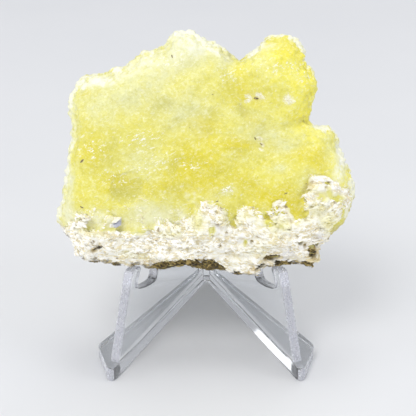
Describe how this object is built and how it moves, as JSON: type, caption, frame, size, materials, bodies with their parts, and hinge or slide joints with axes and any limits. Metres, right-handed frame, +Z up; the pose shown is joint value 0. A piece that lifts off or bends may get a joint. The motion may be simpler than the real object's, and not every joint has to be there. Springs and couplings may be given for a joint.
{
  "type": "brucite specimen on a clear easel",
  "caption": "Lemon-yellow crystalline brucite plate with a pale crust along its foot, leaning on a clear V-shaped easel.",
  "frame": {"origin": "middle of the object's bounding box in plan, on the surface it stands on", "axes": "+Z up, -Y towards the viewer and the specimen's face, +X to the viewer's right"},
  "size_m": [0.071, 0.0524, 0.0785],
  "materials": {
    "brucite": "satin",
    "matrix": "matte",
    "acrylic": "polished"
  },
  "bodies": {
    "root": {"brucite": "brucite", "matrix": "matrix", "easel": "acrylic"}
  },
  "joints": []
}
